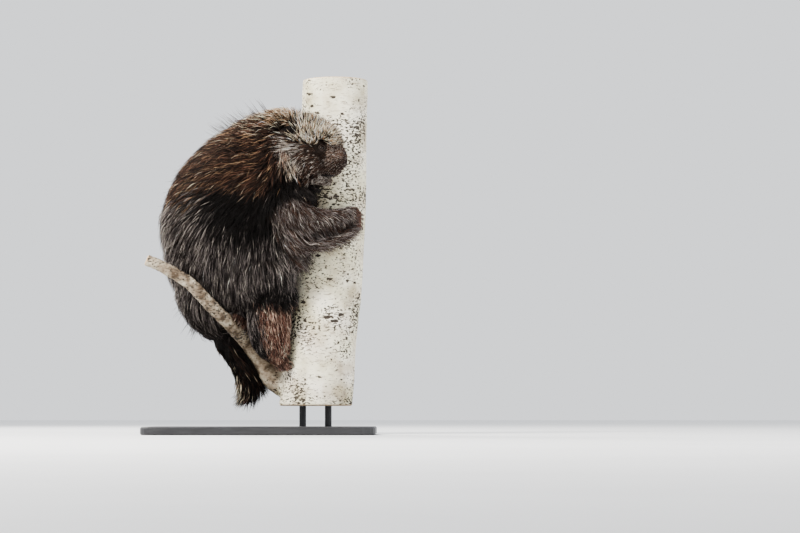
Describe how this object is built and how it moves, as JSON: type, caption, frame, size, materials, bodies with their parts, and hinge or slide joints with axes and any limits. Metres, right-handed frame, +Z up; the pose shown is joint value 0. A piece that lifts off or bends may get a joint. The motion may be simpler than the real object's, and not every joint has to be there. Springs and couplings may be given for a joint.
{
  "type": "porcupine display model",
  "caption": "Life-size North American porcupine with a long quilled coat, clinging to a cut length of aspen trunk with a side limb, on a flat display stand.",
  "frame": {"origin": "centre of the base plate's underside", "axes": "+Z up along the trunk, +X the way the animal faces, -Y the side of the animal that shows"},
  "size_m": [0.464, 0.33, 0.724],
  "materials": {
    "coat": "matte",
    "face": "matte",
    "reddish": "matte",
    "skin": "matte",
    "eye": "gloss",
    "bark": "matte",
    "stand": "satin",
    "rod": "satin"
  },
  "bodies": {
    "root": {"torso": "coat", "head": "face", "ear_right": "coat", "ear_left": "coat", "eye_right": "eye", "eye_left": "eye", "tail": "coat", "arm_right": "coat", "arm_left": "coat", "paw_right": "skin", "paw_left": "skin", "leg_right": "reddish", "leg_left": "coat", "foot_right": "skin", "foot_left": "skin", "perch_trunk": "bark", "perch_limb": "bark", "stand_base": "stand", "stand_rod_left": "rod", "stand_rod_right": "rod"}
  },
  "joints": []
}
